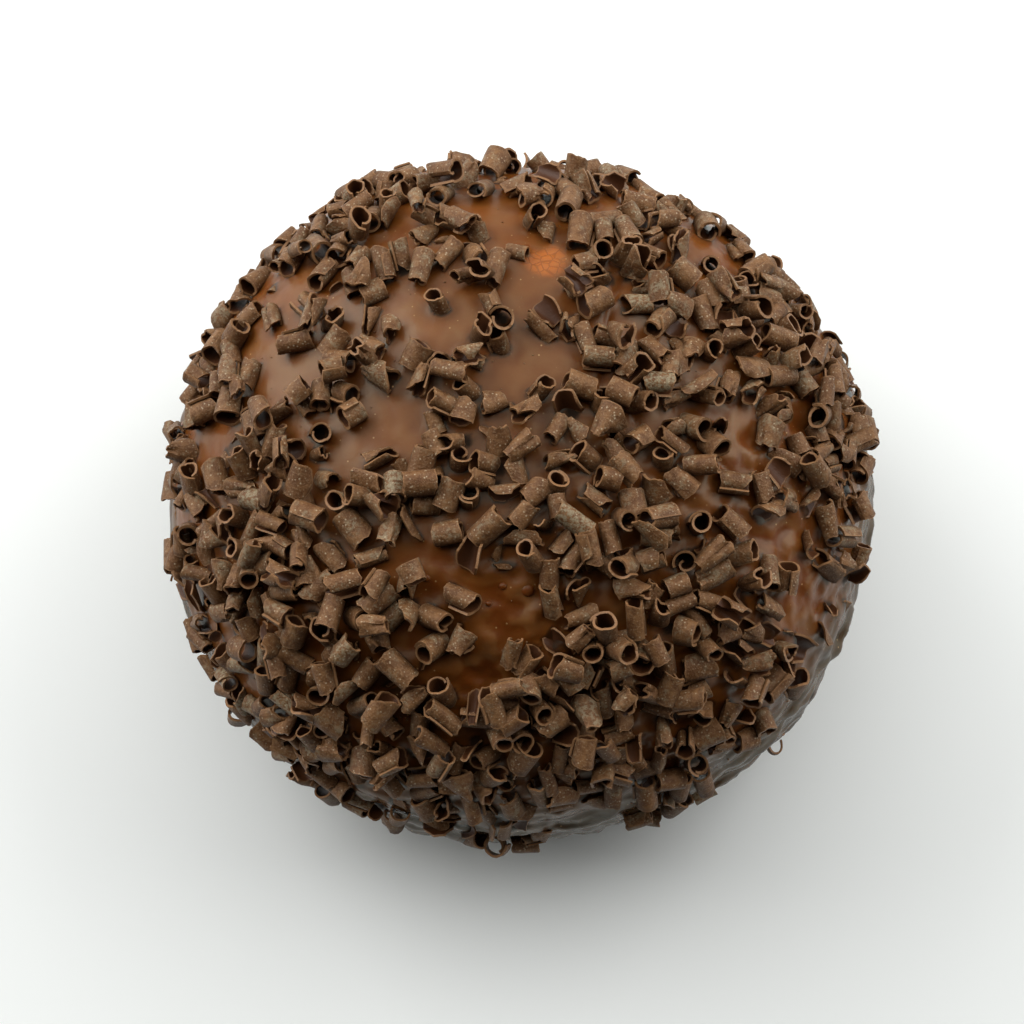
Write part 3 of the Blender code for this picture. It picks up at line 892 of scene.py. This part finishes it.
def lowerCurl(curl, form, surface, laid):
    # the curl sinks along the coat's normal until it meets the coating or a curl below it
    corners, faces = form
    turn = np.array(curl["turn"])
    down = -curl["normal"]
    slack = strewing["slack"]
    start = curl["middle"] - down * slack * np.interp(curl["normal"].z, strewing["slopes"], (0.1, 1))
    spots = (corners * np.array(curl["stretch"])) @ turn.T + np.array(start)
    heights = spots @ np.array(curl["normal"])
    lowest = spots[heights < heights.min() + strewing["footing"]]
    hits = [surface.ray_cast(Vector(spot), down)[3] for spot in lowest]
    upright = abs(curl["axis"].dot(curl["normal"]))
    drop = min([hit for hit in hits if hit is not None] + [slack * 2])
    drop = drop + strewing["sink"] * (1 + strewing["planting"] * upright)
    near = [other for other in laid if (other[0] - curl["middle"]).length < strewing["nearBy"]]
    if curl["raised"] > 0:
        drop = min(drop, slack * 2)
    if near:
        own = BVHTree.FromPolygons(spots.tolist(), faces)
        for _, tree, others in near:
            hits = [tree.ray_cast(Vector(spot), down, drop)[3] for spot in spots[::2]]
            hits += [own.ray_cast(Vector(spot), curl["normal"], drop)[3] for spot in others[::2]]
            drop = min([drop] + [hit + strewing["bite"] for hit in hits if hit is not None])
    curl["middle"] = start + down * drop
    spots = spots + np.array(down) * drop
    laid.append((curl["middle"], BVHTree.FromPolygons(spots.tolist(), faces), spots))


def layCurls(curls, forms, coat, rng):
    surface = BVHTree.FromObject(coat, bpy.context.evaluated_depsgraph_get())
    laid = []
    for curl in curls:
        shapes = forms[curl["kind"]][1]
        curl["form"] = int(rng.integers(len(shapes)))
        round_ = curl["radius"] / strewing["radius"]
        curl["stretch"] = Vector((round_, round_, curl["length"] / strewing["length"]))
        spin = Matrix.Rotation(curl["roll"], 3, "Z")
        curl["turn"] = curl["axis"].to_track_quat("Z", "X").to_matrix() @ spin
        curl["dust"] = float(np.clip(rng.normal(0.10, 0.14), 0, 0.5))
        if rng.random() < curlForms["dustyShare"] and curl["kind"] == "tube":
            curl["dust"] = 1.0
        curl["shade"] = rng.random()
        lowerCurl(curl, shapes[curl["form"]], surface, laid)


def buildStrewTree():
    inputs = [("forms", "Collection", None), ("material", "Material", None)]
    inputs += [(name, "Float", curlForms[name]) for name in ("warpDepth", "warpGrain")]
    board, given = startGeometryTree("strewCurls", inputs)
    sockets = {"Collection": given["forms"], "Separate Children": True, "Reset Children": True}
    forms = board.node("GeometryNodeCollectionInfo", {}, sockets)
    turn, stretch = [board.stored(name, "FLOAT_VECTOR") for name in ("turn", "stretch")]
    sockets = {"Points": given["Geometry"], "Instance": forms, "Pick Instance": True,
               "Instance Index": board.stored("form", "INT"), "Rotation": turn, "Scale": stretch}
    strewn = board.realize(board.node("GeometryNodeInstanceOnPoints", {}, sockets))
    place = board.node("GeometryNodeInputPosition")
    sockets = {"Vector": place, "Scale": 1 / given["warpGrain"], "Detail": 1.0}
    wobble = board.node("ShaderNodeTexNoise", {}, sockets, out="Color")
    wobble = board.vector("SUBTRACT", wobble, (0.5, 0.5, 0.5))
    strewn = board.shift(strewn, board.scaled(wobble, given["warpDepth"] * 2))
    # how much each point faces up, for the painted shade on the curls' lower sides
    strewn = board.store(strewn, "up", board.split(board.node("GeometryNodeInputNormal"))[2])
    return endGeometryTree(board, board.paint(strewn, given["material"]))


shavings = {
    "dark": rgb(0.106, 0.045, 0.016),
    "light": rgb(0.208, 0.102, 0.040),
    "shaded": rgb(0.086, 0.033, 0.012),
    "dusty": rgb(0.245, 0.198, 0.122),
    "grain": rgb(0.275, 0.182, 0.105),
    "fleck": rgb(0.47, 0.37, 0.24),
    "paintedUnderShade": rgb(0.050, 0.028, 0.015),  # painted shade on the sides that face down
    # the inner faces: their own darker, redder brown, darkened further as painted shade inside the rolls
    "inside": rgb(0.062, 0.022, 0.008),
    # painted highlight: the sheets' thin edges are lighter, as where light catches and shines through them;
    # the crumbs, which carry no edge values, get part of it as well
    "rim": rgb(0.29, 0.150, 0.066),
}


def makeCurlMaterial():
    material, board, shader = startMaterial("shavedChocolate", {"IOR": 1.46, "Specular IOR Level": 0.22})
    where = board.node("ShaderNodeTexCoord", out="Object")
    names = ("inner", "margin", "dust", "shade", "up")
    inner, margin, dust, shade, up = [board.attribute(name) for name in names]
    mottle = board.noise(where, 0.0020, 3.0, 0.6)
    outside = board.mix(mottle.ramp(0.30, 0.70), shavings["dark"], shavings["light"])
    outside = board.mix(shade * 0.40, outside, shavings["shaded"])
    grain = board.noise(where, 0.0005, 2.0, 0.7)
    outside = board.mix(grain.ramp(0.50, 0.74) * 0.45, outside, shavings["grain"])
    smudges = (board.noise(where, 0.0034, 2.0) + dust * 0.5).ramp(0.55, 0.76)
    smudges = smudges * board.noise(where, 0.0009, 2.0, 0.7).ramp(0.40, 0.60)
    outside = board.mix(smudges * (0.52 + dust * 0.34), outside, shavings["dusty"])
    dots = board.cells(where, 0.0010).ramp(0.30, 0.12) * board.noise(where, 0.0026, 1.0).ramp(0.38, 0.56)
    outside = board.mix(dots * 0.6, outside, shavings["fleck"])
    # painted shade on the sides that face down
    outside = board.mix(up.ramp(0.75, -0.2) * 0.65, outside, shavings["paintedUnderShade"])
    # the inner faces, partly their own colour and partly painted shade
    colour = board.mix(inner.ramp(0.4, 0.6), outside, shavings["inside"])
    # painted highlight along the sheets' edges
    rim = (inner * (1 - inner) * 4).ramp(0.05, 0.4).most(margin.ramp(0.00034, 0.00012) * 0.7)
    colour = board.mix(rim * 0.65, colour, shavings["rim"])
    board.plug(shader["Base Color"], colour)
    board.plug(shader["Roughness"], 0.54 - inner * 0.12)
    height = (grain + mottle * 1.5) * (1 - inner * 0.7)
    bump = board.node("ShaderNodeBump", {}, {"Strength": 0.6, "Distance": 0.0003, "Height": height})
    board.plug(shader["Normal"], bump)
    return material


def makeCurls(curls, coat, material):
    # one piece for each kind of curl
    rng = np.random.default_rng(strewing["seed"] + 1)
    forms = makeForms(rng)
    layCurls(curls, forms, coat, rng)
    tree = buildStrewTree()
    made = []
    for kind, (shapes, _) in forms.items():
        mine = [curl for curl in curls if curl["kind"] == kind]
        points = bpy.data.meshes.new(kind + "Curls")
        points.from_pydata([curl["middle"] for curl in mine], [], [])
        turns = [angle for curl in mine for angle in curl["turn"].to_euler()]
        stretches = [share for curl in mine for share in curl["stretch"]]
        keepValues(points, "turn", turns, "FLOAT_VECTOR")
        keepValues(points, "stretch", stretches, "FLOAT_VECTOR")
        for name, valueKind in (("form", "INT"), ("dust", "FLOAT"), ("shade", "FLOAT")):
            keepValues(points, name, [curl[name] for curl in mine], valueKind)
        piece = newObject(kind + "Curls", points)
        useTree(piece, tree, {"forms": shapes, "material": material})
        freeze(piece)
        for thing in list(shapes.objects):
            bpy.data.objects.remove(thing)
        bpy.data.collections.remove(shapes)
        made.append(piece)
        print(f"{kind}: {len(mine)} curls, {len(piece.data.polygons)} faces")
    return made


crumbs = {
    "seed": 3,
    "perSquareMetre": 13000,
    "size": (0.00016, 0.00042),
    "slimmest": (0.5, 0.5, 0.35),  # shares of the size, between which each crumb is drawn
    "fullest": (1.3, 0.9, 0.7),
    "lowest": 0.040,
}


def buildCrumbTree():
    inputs = [("coat", "Object", None), ("material", "Material", None), ("seed", "Int", crumbs["seed"]),
              ("perSquareMetre", "Float", crumbs["perSquareMetre"])]
    board, given = startGeometryTree("strewCrumbs", inputs)
    height = board.split(board.node("GeometryNodeInputPosition"))[2]
    density = height.ramp(crumbs["lowest"], crumbs["lowest"] * 1.5) * given["perSquareMetre"]
    sockets = {"Mesh": board.shapeOf(given["coat"]), "Density": density, "Seed": given["seed"]}
    spots = board.node("GeometryNodeDistributePointsOnFaces", {}, sockets)
    upright = Wire(board, spots.socket.node.outputs["Rotation"])
    chip = board.node("GeometryNodeMeshIcoSphere", {}, {"Radius": 1.0, "Subdivisions": 1})
    shape = board.drawn("FLOAT_VECTOR", crumbs["slimmest"], crumbs["fullest"], given["seed"])
    size = board.drawn("FLOAT", *crumbs["size"], given["seed"])
    sockets = {"Points": spots, "Instance": chip, "Rotation": upright, "Scale": board.scaled(shape, size)}
    strewn = board.node("GeometryNodeInstanceOnPoints", {}, sockets)
    spin = board.drawn("FLOAT_VECTOR", (0, 0, 0), (math.tau, math.tau, math.tau), given["seed"])
    strewn = board.node("GeometryNodeRotateInstances", {}, {"Instances": strewn, "Rotation": spin})
    return endGeometryTree(board, board.paint(board.realize(strewn), given["material"]))


def makeCrumbs(coat, material):
    # the finest chips of the shaved chocolate, and a little of its dust
    piece = newObject("chocolateCrumbs", bpy.data.meshes.new("chocolateCrumbs"))
    useTree(piece, buildCrumbTree(), {"coat": coat, "material": material})
    freeze(piece)
    print(f"crumbs: {len(piece.data.polygons)} faces")
    return piece


def makeWells(curls):
    # a point on the coat in the middle of each curl that stands up, round which the shade inside it is
    # painted
    feet = []
    for curl in curls:
        upright = curl["axis"].dot(curl["normal"])
        if upright > cake["wellUpright"] and curl["raised"] < cake["wellRaised"]:
            above = (curl["middle"] - curl["foot"]).dot(curl["normal"])
            feet.append(curl["middle"] - curl["axis"] * (above / upright))
    points = bpy.data.meshes.new("wells")
    points.from_pydata(feet, [], [])
    return newObject("wells", points)


def creepCoat(coat, pieces, curls):
    # the curls are gathered for as long as the coat measures its distance to them
    gathered = bpy.data.collections.new("settledCurls")
    bpy.context.scene.collection.children.link(gathered)
    for piece in pieces:
        gathered.objects.link(piece)
    wells = makeWells(curls)
    useTree(coat, buildCreepTree(), {"curls": gathered, "wells": wells})
    freeze(coat)
    bpy.data.objects.remove(wells)
    coat.data.shade_smooth()
    bpy.data.collections.remove(gathered)


# The floor, the lights and the camera

studio = {
    "floorSize": 4.0,
    "floorColour": rgb(0.87, 0.89, 0.87),
    "worldColour": rgb(0.80, 0.92, 0.86),
    "worldStrength": 0.020,
    "boxes": (  # width and depth, distance, degrees from straight up towards +X and +Y, power
        ((1.70, 1.60), 0.95, (-4, 40), 13.8),
        ((1.00, 0.90), 1.00, (-62, 46), 11.0),
        ((1.00, 0.90), 1.00, (60, 38), 9.0),
    ),
}
view = {
    "elevation": 78,
    "distance": 0.600,
    "target": (-0.0002, -0.0053, 0.0589),
    "pixels": 1024,
    "metresPerPixel": 0.00025,
    "sensor": 36.0,
}


def makeStudio():
    half = studio["floorSize"] / 2
    mesh = bpy.data.meshes.new("floor")
    corners = [(-half, -half, 0), (half, -half, 0), (half, half, 0), (-half, half, 0)]
    mesh.from_pydata(corners, [], [(0, 1, 2, 3)])
    floor = newObject("floor", mesh)
    material, board, shader = startMaterial("paleFloor", {"Roughness": 0.9, "Specular IOR Level": 0.1})
    board.plug(shader["Base Color"], studio["floorColour"])
    mesh.materials.append(material)

    world = bpy.data.worlds.new("studio")
    world.use_nodes = True
    background = world.node_tree.nodes["Background"].inputs
    background["Color"].default_value = studio["worldColour"]
    background["Strength"].default_value = studio["worldStrength"]
    bpy.context.scene.world = world

    for size, distance, tilt, power in studio["boxes"]:
        lamp = bpy.data.lights.new("softBox", "AREA")
        lamp.shape = "RECTANGLE"
        lamp.size, lamp.size_y = size
        lamp.energy = power
        box = newObject("softBox", lamp)
        right, back = (math.tan(math.radians(degrees)) for degrees in tilt)
        away = Vector((right, back, 1)).normalized()
        box.location = Vector((0, 0, cake["height"])) + away * distance
        box.rotation_euler = away.to_track_quat("Z", "Y").to_euler()


def makeCamera():
    lens = bpy.data.cameras.new("camera")
    camera = newObject("camera", lens)
    angle = math.radians(view["elevation"])
    back = Vector((0, -math.cos(angle), math.sin(angle)))
    camera.location = Vector(view["target"]) + back * view["distance"]
    camera.rotation_euler = back.to_track_quat("Z", "Y").to_euler()
    lens.sensor_width = view["sensor"]
    lens.lens = view["sensor"] * view["distance"] / (view["pixels"] * view["metresPerPixel"])
    lens.clip_start, lens.clip_end = 0.01, 10.0
    bpy.context.scene.camera = camera


makeCamera()
makeStudio()
print("studio ready")
poured = makeCoatMaterial()
coat = makeCake(poured)
print(f"coat shaped: {len(coat.data.polygons)} faces")
settled = settleCurls()
print(f"{len(settled)} curls settled")
shaved = makeCurlMaterial()
curlPieces = makeCurls(settled, coat, shaved)
creepCoat(coat, curlPieces, settled)
print("coating crept up the curls")
crumbPiece = makeCrumbs(coat, shaved)
dropPiece = makeDrops(poured)

for piece in [coat, crumbPiece, dropPiece, *curlPieces]:
    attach(piece, "root")
    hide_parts("coated_cake")
bpy.context.scene.view_settings.view_transform = "Standard"
